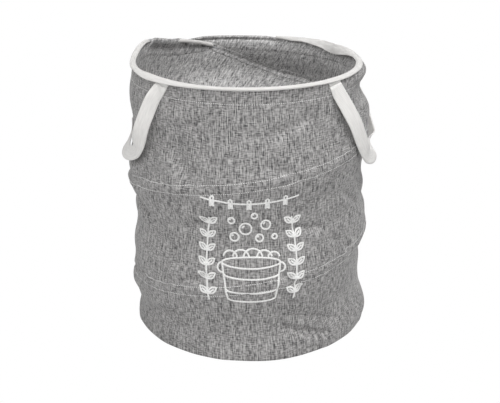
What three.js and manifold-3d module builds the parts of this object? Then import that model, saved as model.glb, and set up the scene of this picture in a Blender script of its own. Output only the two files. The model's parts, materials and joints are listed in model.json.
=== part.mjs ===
// Pop-up laundry hamper: a cloth tube held open by one long coiled spring wire, with a bound rim
// and two webbing carry handles. Millimetres, +Z up, front towards -Y, origin on the floor at the
// centre of the base. A turn is an angle in degrees about the hamper's axis: 0 at the front, 90 at
// the left, 180 at the back and 270 at the right. The wire winds down with growing turns.

import * as THREE from 'three';
import { mergeVertices } from 'three/addons/utils/BufferGeometryUtils.js';
import Module from 'manifold-3d';

const wasm = await Module();
wasm.setup();

// Overall sizes
const HEIGHT = 450;
const RIM_RADIUS = 190;
const BODY_RADIUS = 194;
const FOOT_RADIUS = 197;
const BILLOW = 5.5;
const NECK_FADE = 75;
const FOOT_FADE = 60;

// Clearances: between touching pieces, and round the wire where it passes through cloth
const GAP = 0.3;
const WIRE_PASSAGE = 0.45;

// Cloth, tape and webbing
const CLOTH = 1.5;
const TAPE = 1.2;
const HEM_HEIGHT = 25;
const BINDING_HEIGHT = 12;
const BINDING_ROUND = 3;
const CASING_WIDTH = 20;
const SEAM_FLANGE = 4.5;

// Spring wire
const WIRE_RADIUS = 1.5;
const PITCH = 170;
const SLEEVE_RADIUS = 2.3;
const SLEEVE_LENGTH = 16;
const SLEEVE_END_WALL = 1.5;
const SLEEVE_ROUND = 0.8;
const SLEEVE_GRIP = 11;

// The wire's route: the turn at which it joins the foot, the turns that it runs level in the rim,
// dives out of it and runs round the foot, and how far below the rim the even coil starts
const FOOT_TURN = 1341;
const RIM_RUN_TURN = 297;
const DIVE_RUN_TURN = 63;
const FOOT_RUN_TURN = 342;
const DIVE_DROP = 46;
const CASING_LEAD_TURN = 27;
const FOOT_TAPE_RUN_TURN = 315;

// Carry handles
const WEB_WIDTH = 24;
const WEB = 1.5;
const HANDLE_HALF_TURN = 46;
const HANDLE_LOW = 278;
const HANDLE_STAND_OFF = 10.2;
const TAB_LENGTH = 24;
const DROP_LEAN_SHARE = 0.86;
const DROP_STEEPNESS_SHARE = 0.5;
const DROP_ROUNDNESS_SHARE = 0.6;

// How finely the round forms are divided
const COLUMNS = 40;
const WALL_ROWS = 17;
const WIRE_SIDES = 8;
const ROUND_STEPS = 3;
const SLEEVE_SIDES = 12;
const LOOP_STEPS = 26;
const TAB_STEPS = 3;

const FULL_TURN = 360;
const HALF_TURN = FULL_TURN / 2;
const COLUMN_TURN = FULL_TURN / COLUMNS;
const SIDE_TURN = FULL_TURN / 4;

// How far a flat facet lies inside the circle through its corners
const sagitta = (radius) => radius * (1 - Math.cos(Math.PI / COLUMNS));
const webSagitta = (radius) => WEB_WIDTH ** 2 / (8 * radius);

// Heights in the rim, worked out downwards from the top
const bindingLow = HEIGHT - BINDING_HEIGHT;
const channelTop = HEIGHT - TAPE;
const rimWireZ = channelTop - GAP - SLEEVE_RADIUS;
const wallTop = rimWireZ - SLEEVE_RADIUS - 2 * GAP;
const hemLow = wallTop - HEM_HEIGHT;
const footWireZ = CLOTH + GAP + SLEEVE_RADIUS;

// Radii in the rim, worked out inwards: tape, web, cloth, hem and tape again
const channelOuter = RIM_RADIUS - TAPE;
const webRadius = channelOuter - sagitta(channelOuter) - GAP - WEB / 2;
const neckRadius = webRadius - WEB / 2 - webSagitta(webRadius) - GAP;
const hemOuter = neckRadius - CLOTH - GAP;
const channelInner = hemOuter - TAPE - GAP;
const bindingInner = channelInner - TAPE;
const rimWireRadius = (channelOuter + channelInner) / 2;

// Where along its turns the wire leaves the rim, starts and is cased to the wall. It starts on a
// column, so that its straight sleeve lies along it
const diveTurn = FOOT_TURN - ((rimWireZ - DIVE_DROP - footWireZ) * FULL_TURN) / PITCH;
const wireStartTurn = COLUMN_TURN * Math.round((diveTurn - RIM_RUN_TURN) / COLUMN_TURN);
const casingStartTurn = diveTurn + CASING_LEAD_TURN;
const casingEndTurn = FOOT_TURN - CASING_LEAD_TURN;

// The seam tape in the corner of wall and base: its slope over the wire, and its top edge
const tapeSlope = 2 * SLEEVE_RADIUS + Math.SQRT2 * (WIRE_RADIUS + GAP);
const tapeReach = tapeSlope + SEAM_FLANGE;
const tapeTop = CLOTH + GAP + tapeReach;

const radians = (turn) => THREE.MathUtils.degToRad(turn);
const smooth = (share) => THREE.MathUtils.smoothstep(share, 0, 1);
const lerp = THREE.MathUtils.lerp;

function place(turn, radius, z) {
  const angle = radians(turn);
  return new THREE.Vector3(-radius * Math.sin(angle), -radius * Math.cos(angle), z);
}

// The cloth stands out where the wire pushes it and draws in half way between two turns
function clothRadius(turn, z) {
  const footShare = smooth(z / FOOT_FADE);
  const neckShare = smooth((bindingLow - z) / NECK_FADE);
  const low = lerp(FOOT_RADIUS, BODY_RADIUS, footShare);
  const mean = lerp(neckRadius, low, neckShare);
  const fromWire = (z - coilHeight(turn)) / PITCH;
  return mean + BILLOW * footShare * neckShare * Math.cos(2 * Math.PI * fromWire);
}

function coilHeight(turn) {
  return footWireZ + ((FOOT_TURN - turn) * PITCH) / FULL_TURN;
}

const rowHeights = Array.from({ length: WALL_ROWS }, (_, row) => (hemLow * row) / (WALL_ROWS - 1));
rowHeights.push(bindingLow, wallTop);

// Radius of the faceted wall, which is straight between its rows
function facetRadius(turn, z) {
  const last = rowHeights.length - 2;
  const row = THREE.MathUtils.clamp(rowHeights.findLastIndex((height) => height <= z), 0, last);
  const low = rowHeights[row];
  const high = rowHeights[row + 1];
  const share = THREE.MathUtils.clamp((z - low) / (high - low), 0, 1);
  return lerp(clothRadius(turn, low), clothRadius(turn, high), share);
}

// Radius of the innermost cloth over a band of heights: the wall, or the hem where there is one
function liningRadius(turn, z, halfBand) {
  const heights = [z - halfBand, z, z + halfBand];
  heights.push(...rowHeights.filter((height) => Math.abs(height - z) < halfBand));
  const wall = Math.min(...heights.map((height) => facetRadius(turn, height))) - CLOTH;
  return z + halfBand + GAP > hemLow ? wall - GAP - TAPE : wall;
}

// Radius of the upright face that the foot's wire, its sleeve and the seam tape share
function footSeat(turn) {
  return liningRadius(turn, tapeTop / 2, tapeTop / 2) - GAP;
}

// The wire's centre: level in the rim, a dive to the inside of the wall, then an even coil
function wireAt(turn) {
  if (turn <= diveTurn) {
    return { radius: rimWireRadius, z: rimWireZ };
  }
  const z = wireHeight(turn);
  const band = CASING_WIDTH / 2 + wireHeight(turn - COLUMN_TURN) - z;
  const seat = turn < FOOT_TURN ? WIRE_RADIUS : SLEEVE_RADIUS;
  return { radius: liningRadius(turn, z, band) - GAP - seat, z };
}

function wireHeight(turn) {
  const diveShare = smooth((turn - diveTurn) / DIVE_RUN_TURN);
  return Math.min(rimWireZ, coilHeight(turn) + DIVE_DROP * (1 - diveShare));
}

function turnsBetween(start, end) {
  const first = Math.floor(start / COLUMN_TURN) + 1;
  const turns = [start];
  for (let column = first; column * COLUMN_TURN < end; column += 1) {
    turns.push(column * COLUMN_TURN);
  }
  turns.push(end);
  return turns;
}

const ringTurns = turnsBetween(0, FULL_TURN).slice(0, -1);

// A closed solid through rings of corners, with both ends faced unless the last joins the first
function solid(rings, joined) {
  const count = rings[0].length;
  const positions = rings.flat().flatMap((corner) => corner.toArray());
  const index = [];
  const spans = joined ? rings.length : rings.length - 1;
  for (let ring = 0; ring < spans; ring += 1) {
    const here = ring * count;
    const next = ((ring + 1) % rings.length) * count;
    for (let side = 0; side < count; side += 1) {
      const after = (side + 1) % count;
      index.push(here + side, next + side, next + after);
      index.push(here + side, next + after, here + after);
    }
  }
  if (!joined) {
    const end = (rings.length - 1) * count;
    for (const [a, b, c] of endTriangles(rings[0])) {
      index.push(a, b, c);
    }
    for (const [a, b, c] of endTriangles(rings.at(-1))) {
      index.push(end + c, end + b, end + a);
    }
  }
  const geometry = new THREE.BufferGeometry();
  geometry.setAttribute('position', new THREE.Float32BufferAttribute(positions, 3));
  geometry.setIndex(index);
  return facedOut(geometry);
}

// An end face is cut into triangles in its own plane
function endTriangles(ring) {
  const normal = new THREE.Vector3();
  ring.forEach((corner, i) => normal.add(corner.clone().cross(ring[(i + 1) % ring.length])));
  const level = new THREE.Quaternion();
  level.setFromUnitVectors(normal.normalize(), new THREE.Vector3(0, 0, 1));
  const flat = ring.map((corner) => corner.clone().applyQuaternion(level));
  return THREE.ShapeUtils.triangulateShape(flat.map((corner) => new THREE.Vector2(corner.x, corner.y)), []);
}

function volumeOf(geometry) {
  const positions = geometry.getAttribute('position');
  const index = geometry.getIndex();
  const corners = [0, 1, 2].map(() => new THREE.Vector3());
  let sum = 0;
  for (let i = 0; i < index.count; i += 3) {
    corners.forEach((corner, k) => corner.fromBufferAttribute(positions, index.getX(i + k)));
    sum += corners[0].dot(corners[1].clone().cross(corners[2]));
  }
  return sum / 6;
}

function facedOut(geometry) {
  if (volumeOf(geometry) < 0) {
    geometry.setIndex(Array.from(geometry.getIndex().array).reverse());
  }
  return geometry;
}

// Between two columns a ring lies on the flat that joins them, a little inside the circle
function flatShare(turn) {
  const fromColumn = turn - Math.floor(turn / COLUMN_TURN) * COLUMN_TURN;
  return Math.cos(radians(COLUMN_TURN / 2)) / Math.cos(radians(fromColumn - COLUMN_TURN / 2));
}

// A form swept round the axis, from its outline of radii and heights at each turn
function sweep(turns, outlineAt, joined = false) {
  const ring = (turn) =>
    outlineAt(turn).map(([radius, z]) => place(turn, radius * flatShare(turn), z));
  return solid(turns.map(ring), joined);
}

function tubeOutline(at, radius) {
  return Array.from({ length: WIRE_SIDES }, (_, side) => {
    const angle = (2 * Math.PI * side) / WIRE_SIDES;
    return [at.radius + radius * Math.cos(angle), at.z + radius * Math.sin(angle)];
  });
}

function arcPoints(centre, radius, from, to) {
  return Array.from({ length: ROUND_STEPS + 1 }, (_, step) => {
    const angle = radians(lerp(from, to, step / ROUND_STEPS));
    return [centre[0] + radius * Math.cos(angle), centre[1] + radius * Math.sin(angle)];
  });
}

function toManifold(geometry) {
  const bare = new THREE.BufferGeometry();
  bare.setAttribute('position', geometry.getAttribute('position'));
  bare.setIndex(geometry.getIndex());
  const merged = mergeVertices(bare);
  const vertProperties = new Float32Array(merged.getAttribute('position').array);
  const triVerts = new Uint32Array(merged.getIndex().array);
  return new wasm.Manifold(new wasm.Mesh({ numProp: 3, vertProperties, triVerts }));
}

function fromManifold(body) {
  const mesh = body.getMesh();
  const geometry = new THREE.BufferGeometry();
  geometry.setAttribute('position', new THREE.Float32BufferAttribute(mesh.vertProperties, 3));
  geometry.setIndex(Array.from(mesh.triVerts));
  return geometry;
}

// The room that the wire needs where it leaves the rim and crosses the hem to the inside
const passageTurns = turnsBetween(diveTurn, casingStartTurn);
passageTurns.unshift(diveTurn - COLUMN_TURN);
const passage = toManifold(
  sweep(passageTurns, (turn) => tubeOutline(wireAt(turn), WIRE_RADIUS + WIRE_PASSAGE)),
);

// The passage can sever a shred of cloth at its edge, so only the main body is kept
function withPassage(geometry) {
  const bodies = toManifold(geometry).subtract(passage).decompose();
  bodies.sort((one, other) => other.volume() - one.volume());
  return fromManifold(bodies[0]);
}

// Wall: one cloth tube from the floor to just under the wire in the rim
function wallPanel() {
  const outline = (turn) => {
    const outside = rowHeights.map((z) => [clothRadius(turn, z), z]);
    const inside = outside.map(([radius, z]) => [radius - CLOTH, z]).reverse();
    return [...outside, ...inside];
  };
  return withPassage(sweep(ringTurns, outline, true));
}

// Base: a cloth disc that lies flat inside the foot of the wall
function basePanel() {
  const corners = ringTurns.map((turn) => {
    const radius = Math.min(facetRadius(turn, 0), facetRadius(turn, CLOTH)) - CLOTH - GAP;
    const corner = place(turn, radius, 0);
    return new THREE.Vector2(corner.x, corner.y);
  });
  return new THREE.ExtrudeGeometry(new THREE.Shape(corners), { depth: CLOTH, bevelEnabled: false });
}

// Seam tape: one flange on the wall, one on the base, and a slope between them over the wire
function baseSeamTape() {
  const turned = TAPE * Math.tan(Math.PI / 8);
  const outline = (turn) => {
    const wall = footSeat(turn);
    const base = CLOTH + GAP;
    return [
      [wall, base + tapeReach],
      [wall, base + tapeSlope],
      [wall - tapeSlope, base],
      [wall - tapeReach, base],
      [wall - tapeReach, base + TAPE],
      [wall - tapeSlope - turned, base + TAPE],
      [wall - TAPE, base + tapeSlope + turned],
      [wall - TAPE, base + tapeReach],
    ];
  };
  return sweep(turnsBetween(FOOT_TURN, FOOT_TURN + FOOT_TAPE_RUN_TURN), outline);
}

// Rim binding: a folded tape, open below, round the wire and the top edges of wall and hem
function topBinding() {
  const inset = BINDING_ROUND;
  const innerInset = BINDING_ROUND - TAPE;
  const outline = [
    [RIM_RADIUS, bindingLow],
    ...arcPoints([RIM_RADIUS - inset, HEIGHT - inset], inset, 0, SIDE_TURN),
    ...arcPoints([bindingInner + inset, HEIGHT - inset], inset, SIDE_TURN, HALF_TURN),
    [bindingInner, bindingLow],
    [channelInner, bindingLow],
    ...arcPoints([channelInner + innerInset, channelTop - innerInset], innerInset, HALF_TURN, SIDE_TURN),
    ...arcPoints([channelOuter - innerInset, channelTop - innerInset], innerInset, SIDE_TURN, 0),
    [channelOuter, bindingLow],
  ];
  return withPassage(sweep(ringTurns, () => outline, true));
}

// Hem: a band of cloth inside the top of the wall
function rimFacing() {
  const outline = (turn) => {
    const heights = rowHeights.filter((z) => z >= hemLow);
    const outside = heights.map((z) => [facetRadius(turn, z) - CLOTH - GAP, z]);
    const inside = outside.map(([radius, z]) => [radius - TAPE, z]).reverse();
    return [...outside, ...inside];
  };
  return withPassage(sweep(ringTurns, outline, true));
}

// Wire: three lengths of one wire, with a small cut where the rim and the foot meet the coil
function wirePiece(start, end, centreAt) {
  return sweep(turnsBetween(start, end), (turn) => tubeOutline(centreAt(turn), WIRE_RADIUS));
}

const turnFor = (length, radius) => THREE.MathUtils.radToDeg(length / radius);

function footWireAt(turn) {
  return { radius: footSeat(turn) - SLEEVE_RADIUS, z: footWireZ };
}

const sleeveTip = SLEEVE_LENGTH - SLEEVE_GRIP;
const rimWireStart = wireStartTurn + turnFor(sleeveTip, rimWireRadius);
const rimWireEnd = diveTurn - turnFor(GAP, rimWireRadius);
const footWireStart = FOOT_TURN + turnFor(GAP, FOOT_RADIUS);
const footWireEnd = FOOT_TURN + FOOT_RUN_TURN - turnFor(sleeveTip, FOOT_RADIUS);

const wireTopLoop = () => wirePiece(rimWireStart, rimWireEnd, wireAt);
const wireCoil = () => wirePiece(diveTurn, FOOT_TURN, wireAt);
const wireBottomLoop = () => wirePiece(footWireStart, footWireEnd, footWireAt);

// Sleeve: a round-nosed cup pressed over a wire end, its mouth towards the wire
function endSleeve(tip, towardsWire) {
  const bore = WIRE_RADIUS + GAP;
  const profile = [
    [0, 0],
    [SLEEVE_RADIUS - SLEEVE_ROUND, 0],
    [SLEEVE_RADIUS, SLEEVE_ROUND],
    [SLEEVE_RADIUS, SLEEVE_LENGTH],
    [bore, SLEEVE_LENGTH],
    [bore, SLEEVE_END_WALL],
    [0, SLEEVE_END_WALL],
  ].map(([radius, along]) => new THREE.Vector2(radius, along));
  const geometry = new THREE.LatheGeometry(profile, SLEEVE_SIDES);
  const direction = towardsWire.clone().sub(tip).normalize();
  const aim = new THREE.Quaternion().setFromUnitVectors(new THREE.Vector3(0, 1, 0), direction);
  return geometry.applyQuaternion(aim).translate(tip.x, tip.y, tip.z);
}

function topEndSleeve() {
  const tip = place(wireStartTurn, rimWireRadius, rimWireZ);
  return endSleeve(tip, place(wireStartTurn + COLUMN_TURN, rimWireRadius, rimWireZ));
}

function bottomEndSleeve() {
  const endTurn = FOOT_TURN + FOOT_RUN_TURN;
  const at = footWireAt(endTurn);
  return endSleeve(place(endTurn, at.radius, at.z), place(endTurn - COLUMN_TURN, at.radius, at.z));
}

// Casing: a tape sewn along both edges inside the wall, arched over the wire
function coilCasing() {
  const half = CASING_WIDTH / 2;
  const arch = WIRE_RADIUS + GAP;
  const outline = (turn) => {
    const { radius, z } = wireAt(turn);
    const seat = radius + WIRE_RADIUS;
    const crown = radius - arch;
    return [
      [seat, z - half],
      [seat, z - 2 * arch],
      [crown, z - arch],
      [crown, z + arch],
      [seat, z + 2 * arch],
      [seat, z + half],
      [seat - TAPE, z + half],
      [seat - TAPE, z + 2 * arch + TAPE],
      [crown - TAPE, z + arch],
      [crown - TAPE, z - arch],
      [seat - TAPE, z - 2 * arch - TAPE],
      [seat - TAPE, z - half],
    ];
  };
  return sweep(turnsBetween(casingStartTurn, casingEndTurn), outline);
}

// Handles: a flat web that drops from the rim, rounds the hamper's side and climbs back
const sideRadius = Math.max(BODY_RADIUS, RIM_RADIUS) + BILLOW + GAP + WEB / 2 + webSagitta(BODY_RADIUS);
const halfDrop = new THREE.CubicBezierCurve(
  new THREE.Vector2(1, wallTop),
  new THREE.Vector2(DROP_LEAN_SHARE, lerp(wallTop, HANDLE_LOW, DROP_STEEPNESS_SHARE)),
  new THREE.Vector2(DROP_ROUNDNESS_SHARE, HANDLE_LOW + WEB_WIDTH / 2),
  new THREE.Vector2(0, HANDLE_LOW + WEB_WIDTH / 2),
);

// Distance from the axis: flat on the wall inside the binding, then over the fullest part of the
// wall and swinging clear of it
function webRadiusAt(z) {
  const fallen = bindingLow - GAP - z;
  const share = Math.max(0, fallen / (bindingLow - GAP - HANDLE_LOW - WEB_WIDTH / 2));
  const overWall = (sideRadius - webRadius) * smooth(fallen / NECK_FADE);
  return webRadius + overWall + HANDLE_STAND_OFF * Math.sin((share * Math.PI) / 2);
}

// One cross-section of the web at a share of the half drop: level where it is cut off inside the
// binding, and square to its run below that
function webSection(share, side, mirror) {
  const at = halfDrop.getPoint(share);
  const run = share > 0 ? halfDrop.getTangent(share) : new THREE.Vector2(0, -1);
  const radius = webRadiusAt(at.y);
  const reach = radians(HANDLE_HALF_TURN) * radius;
  const heading = new THREE.Vector2(run.x * reach, run.y).normalize();
  const across = new THREE.Vector2(-heading.y, heading.x).multiplyScalar(WEB_WIDTH / 2);
  const corner = (edge, face) => {
    const around = at.x * HANDLE_HALF_TURN + turnFor(edge * across.x, radius);
    return place(side + mirror * around, radius + (face * WEB) / 2, at.y + edge * across.y);
  };
  return [corner(-1, -1), corner(1, -1), corner(1, 1), corner(-1, 1)];
}

// The share of the half drop at which the sewn tab ends and the loop begins
function shareAtLength(length) {
  const flat = new THREE.Vector2(radians(HANDLE_HALF_TURN) * sideRadius, 1);
  const steps = LOOP_STEPS * LOOP_STEPS;
  let walked = 0;
  let from = halfDrop.getPoint(0).multiply(flat);
  for (let step = 1; step <= steps; step += 1) {
    const to = halfDrop.getPoint(step / steps).multiply(flat);
    walked += to.distanceTo(from);
    if (walked >= length) {
      return step / steps;
    }
    from = to;
  }
  return 1;
}

const tabShare = shareAtLength(TAB_LENGTH);
const loopShare = shareAtLength(TAB_LENGTH + GAP);

function handleTab(side, mirror) {
  const shares = Array.from({ length: TAB_STEPS + 1 }, (_, step) => (tabShare * step) / TAB_STEPS);
  return solid(shares.map((share) => webSection(share, side, mirror)), false);
}

function handleLoop(side) {
  const halfSteps = LOOP_STEPS / 2;
  const shares = Array.from({ length: halfSteps }, (_, step) => lerp(loopShare, 1, step / halfSteps));
  const down = shares.map((share) => webSection(share, side, -1));
  const up = shares.map((share) => webSection(share, side, 1)).reverse();
  return solid([...down, webSection(1, side, 1), ...up], false);
}

const finish = {
  cloth: { color: 0x8a8a8c, roughness: 0.92, metalness: 0 },
  tape: { color: 0xe9e6e2, roughness: 0.85, metalness: 0 },
  web: { color: 0xe4e1dc, roughness: 0.8, metalness: 0 },
  steel: { color: 0xb8bcc0, roughness: 0.35, metalness: 1 },
  sleeve: { color: 0xd8d8d8, roughness: 0.5, metalness: 0 },
};

const hamper = new THREE.Group();

function add(name, geometry, look) {
  const mesh = new THREE.Mesh(geometry, new THREE.MeshStandardMaterial(finish[look]));
  mesh.name = name;
  hamper.add(mesh);
}

add('wall_panel', wallPanel(), 'cloth');
add('base_panel', basePanel(), 'cloth');
add('base_seam_tape', baseSeamTape(), 'tape');
add('top_binding', topBinding(), 'tape');
add('rim_facing', rimFacing(), 'cloth');
add('wire_top_loop', wireTopLoop(), 'steel');
add('wire_coil', wireCoil(), 'steel');
add('wire_bottom_loop', wireBottomLoop(), 'steel');
add('wire_top_sleeve', topEndSleeve(), 'sleeve');
add('wire_bottom_sleeve', bottomEndSleeve(), 'sleeve');
add('coil_casing', coilCasing(), 'cloth');

for (const [name, side] of [['left', SIDE_TURN], ['right', -SIDE_TURN]]) {
  const rearward = Math.sign(side);
  add(`${name}_handle`, handleLoop(side), 'web');
  add(`${name}_handle_front_tab`, handleTab(side, -rearward), 'web');
  add(`${name}_handle_rear_tab`, handleTab(side, rearward), 'web');
}

export default hamper;
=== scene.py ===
import json
import math
from typing import NamedTuple

import bmesh
import bpy
from mathutils import Matrix, Vector, noise

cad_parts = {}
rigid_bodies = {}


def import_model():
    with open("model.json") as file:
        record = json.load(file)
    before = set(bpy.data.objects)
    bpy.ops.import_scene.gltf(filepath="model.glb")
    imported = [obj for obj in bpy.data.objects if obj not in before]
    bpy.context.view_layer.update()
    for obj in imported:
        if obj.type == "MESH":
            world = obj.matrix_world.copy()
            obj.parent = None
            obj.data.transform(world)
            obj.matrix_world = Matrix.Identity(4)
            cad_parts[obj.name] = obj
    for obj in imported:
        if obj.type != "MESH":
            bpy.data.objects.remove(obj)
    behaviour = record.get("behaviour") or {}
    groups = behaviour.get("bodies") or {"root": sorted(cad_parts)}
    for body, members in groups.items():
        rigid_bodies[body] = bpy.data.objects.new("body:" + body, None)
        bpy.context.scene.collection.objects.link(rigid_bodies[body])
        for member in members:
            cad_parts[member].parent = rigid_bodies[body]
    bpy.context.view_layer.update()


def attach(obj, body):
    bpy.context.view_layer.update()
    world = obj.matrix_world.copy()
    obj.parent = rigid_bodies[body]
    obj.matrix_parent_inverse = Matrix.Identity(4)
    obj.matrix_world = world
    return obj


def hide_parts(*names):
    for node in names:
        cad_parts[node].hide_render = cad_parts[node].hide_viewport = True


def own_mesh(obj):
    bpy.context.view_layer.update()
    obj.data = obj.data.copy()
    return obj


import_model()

bl_info = {
    "name": "Pop-up laundry hamper",
    "version": (1, 0, 0),
    "blender": (4, 5, 0),
    "location": "View3D > Sidebar > Hamper",
    "description": "Dresses the packed frame of a pop-up laundry hamper in cloth, tape and webbing",
    "category": "Object",
}

# The frame's own sizes, in metres, and its turns in degrees about the axis: 0 at the front, 90 at
# the left, 180 at the back. The wire winds down with growing turns.
HEIGHT = 0.450
BODY_RADIUS = 0.194
FOOT_RADIUS = 0.197
NECK_RADIUS = 0.18573
WEB_RADIUS = 0.18717
BILLOW = 0.0055
NECK_FADE = 0.075
FOOT_FADE = 0.060
BINDING_LOW = 0.438
WALL_TOP = 0.4433
HEM_HEIGHT = 0.025
HEM_STITCH = 0.021
RIM_WIRE_Z = 0.4462
RIM_WIRE_RADIUS = 0.1848
FOOT_WIRE_Z = 0.0041
WIRE_RADIUS = 0.0015
SLEEVE_RADIUS = 0.0023
SLEEVE_LENGTH = 0.016
PITCH = 0.170
DIVE_DROP = 0.046
DIVE_TURN = 502.2
DIVE_RUN_TURN = 63.0
WIRE_START_TURN = 207.0
CASING_START_TURN = 529.2
CASING_END_TURN = 1314.0
FOOT_TURN = 1341.0
FOOT_END_TURN = 1683.0
TAPE_END_TURN = 1656.0
CASING_WIDTH = 0.020
CASING_ARCH = 0.0037
CASING_STITCH = 0.0075
RIDGE_HALF = 0.0055
CLEARANCE = 0.0004
WEB_WIDTH = 0.024
HANDLE_HALF_TURN = 46.0
HANDLE_SKEW = -1.5
HANDLE_STAND_OFF = 0.0102
HINGE_Z = 0.4377
SEWN_LOW = 0.4385
SIDE_RADIUS = 0.20092

# Spells of turns, each with its start, rise, end and fall: where a corner of the cloth folds over the
# tape, where the wire has left the rim and the cloth's edge rolls out, and where the diving wire pushes
CORNER_SPELL = (113.0, 6.0, 149.0, 10.0)
ROLL_SPELL = (146.0, 14.0, 204.0, 14.0)
DIVE_SPELL = (484.0, 34.0, 612.0, 56.0)

# Where the rim springs up, where its tape stands open, begins and ends, and where the wall is sewn up
PEAK_TURN = 114.0
PEAK_SPREAD = 17.0
LIFT_LOW = 0.34
LIFT_FADE = 0.10
FLAP_TURN = 236.0
FLAP_SPREAD = 17.0
BINDING_FROM = 197.0
BINDING_TO = 522.5
SEAM_TURN = 190.0

# The loose edge of the cloth at the rim: its depth, how far it rises and rolls out with a lip where the
# wire has left it, and how far it rises and folds in at the corner
EDGE_DEPTH = 0.020
ROLL_RISE = 0.003
ROLL_DEPTH = 0.034
ROLL_LIP_LOW = 0.0062
ROLL_LIP_RISE = 0.0060
CORNER_RISE = 0.007
CORNER_IN = 0.0090
FOLD_LOW = 0.428
FOLD_FADE = 0.012

# The tape's middle: how far it lies inside and below the rim wire, and its turns of dip into the dive,
# which end in a tube
TAPE_IN = 0.0006
TAPE_DROP = 0.0008
DIP_TURNS = 14.0
TUBE_TURN = 488.0

# The crease that the diving wire pushes out: its reach above and below the wire, and the slack below
CREASE_ABOVE = 0.050
CREASE_BELOW = 0.100
SLACK_BELOW = 0.095
SLACK_HALF = 0.045
SLACK_DEPTH = 0.008

# What the sewing leaves in the wall: half widths and depths of the ridge's crest, of the rows of
# stitches beside it, of the hem's row with the gathers below it, and of the groove over the foot seam
CREST_HALF = 0.0030
CREST_RISE = 0.0009
ROW_HALF = 0.0016
ROW_SINK = 0.0010
PUCKER_SPAN = 0.0085
HEM_ROW_HALF = 0.0013
HEM_ROW_SINK = 0.0006
GATHER_BELOW = 0.012
GATHER_HALF = 0.030
GATHER_DEPTH = 0.0013
FOOT_GROOVE_Z = 0.0078
FOOT_GROOVE_HALF = 0.0012
FOOT_GROOVE_SINK = 0.0007

HALF_TURN = 180.0
FULL_TURN = 360.0
WHITE = (1.0, 1.0, 1.0, 1.0)

# Where the camera stands, its tilt in degrees, its lens in millimetres and its shift to the side
CAMERA_PLACE = (0.0, -1.669, 0.840)
CAMERA_TILT = 68.97
CAMERA_LENS = 74.9
CAMERA_SHIFT = 0.008

# The studio: each lamp's place, power in watts and size, the point they face, and the floor's height
LAMPS = (
    ("key", (-1.5, -1.9, 1.3), 9.0, 0.9),
    ("high", (0.2, -1.6, 2.2), 30.0, 1.2),
    ("top", (0.75, -0.45, 2.0), 19.0, 0.7),
    ("left", (-1.6, -0.3, 1.5), 7.0, 1.0),
)
LAMP_AIM = (0.0, 0.0, 0.22)
SOFT_LIGHT = 0.22
FLOOR_Z = -0.0006


def in_metres(name, description, default):
    return bpy.props.FloatProperty(name=name, description=description, default=default, unit="LENGTH")


def in_colour(name, description, default):
    return bpy.props.FloatVectorProperty(
        name=name, description=description, default=default, size=3, subtype="COLOR")


class HAMPER_PG_sizes(bpy.types.PropertyGroup):
    lean: in_metres("Lean", "How far the foot stands to the right of the rim", 0.0065)
    rim_lift: in_metres("Rim lift", "How far the sprung rim stands up at the back left", 0.0155)
    dive_push: in_metres("Dive push", "How far the diving wire pushes the loose cloth out", 0.0120)
    cloth: in_metres("Cloth", "Thickness of the wall's cloth", 0.0013)
    swell: in_metres("Swell", "How far the wire's ridge stands out beyond the frame's", 0.0018)
    sag: in_metres("Sag", "Depth of the slow unevenness of the wall", 0.0034)
    pucker: in_metres("Pucker", "Depth of the puckers beside the stitching", 0.0012)
    rim_flare: in_metres("Rim flare", "How far the cloth rolls out at the back of the rim", 0.004)
    binding_width: in_metres("Binding width", "Width of the folded rim tape", 0.0125)
    binding_depth: in_metres("Binding depth", "Thickness of the folded rim tape over the wire", 0.0056)
    webbing: in_metres("Webbing", "Thickness of the handle webbing", 0.0015)
    stitch: in_metres("Stitch", "Length from one stitch to the next", 0.0034)
    print_line: in_metres("Print line", "Width of a printed line", 0.0030)


class HAMPER_PG_colours(bpy.types.PropertyGroup):
    cloth_dark: in_colour("Dark yarn", "Darkest yarn of the melange", (0.040, 0.039, 0.040))
    cloth_light: in_colour("Light yarn", "Lightest yarn of the melange", (0.455, 0.446, 0.440))
    # The coated back's colours are lighter than the cloth's: partly the real coating's own tone, partly
    # painted light standing in for light that falls inside the hamper
    back_dark: in_colour("Back, dark", "Darkest streak on the coated back", (0.105, 0.103, 0.104))
    back_light: in_colour("Back, light", "Lightest streak on the coated back", (0.72, 0.71, 0.705))
    tape: in_colour("Tape", "Off-white of the rim tape", (0.675, 0.664, 0.648))
    web: in_colour("Webbing", "Off-white of the handles", (0.82, 0.806, 0.785))
    thread: in_colour("Thread", "Pale grey of the stitching", (0.86, 0.855, 0.85))
    ink: in_colour("Ink", "White of the printed lines", (0.88, 0.875, 0.865))
    steel: in_colour("Steel", "Grey of the drawn wire", (0.50, 0.51, 0.53))
    sleeve: in_colour("Sleeve", "Pale plastic of the wire's end sleeves", (0.70, 0.70, 0.70))


# Curves and places that the frame and the pieces share

def given():
    """The sizes that a user can change."""
    return bpy.context.scene.hamper_sizes


def kept(share):
    return min(1.0, max(0.0, share))


def smooth(share):
    share = kept(share)
    return share * share * (3.0 - 2.0 * share)


def between(low, high, share):
    return low + (high - low) * share


def hump(value, half_width):
    return math.exp(-(value / half_width) ** 2)


def drift(x, y, z):
    """Soft noise at a place, between about -1 and 1."""
    return noise.noise(Vector((x, y, z)))


def lap(turn, about):
    """The turn, brought within half a turn of another."""
    return (turn - about + HALF_TURN) % FULL_TURN - HALF_TURN


def near(turn, about, half_width):
    return hump(lap(turn, about), half_width)


def spell(value, start, rise, end, fall):
    """1 from start to end and 0 outside, with soft slopes within them, rise and fall long."""
    return smooth((value - start) / rise) * smooth((end - value) / fall)


def place(turn, radius, z):
    """A point at a turn, a distance from the axis and a height, with the lean and the sprung rim."""
    sizes = given()
    angle = math.radians(turn)
    side = sizes.lean * (1.0 - z / HEIGHT)
    rise = sizes.rim_lift * near(turn, PEAK_TURN, PEAK_SPREAD) * smooth((z - LIFT_LOW) / LIFT_FADE)
    return Vector((side - radius * math.sin(angle), -radius * math.cos(angle), z + rise))


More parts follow.
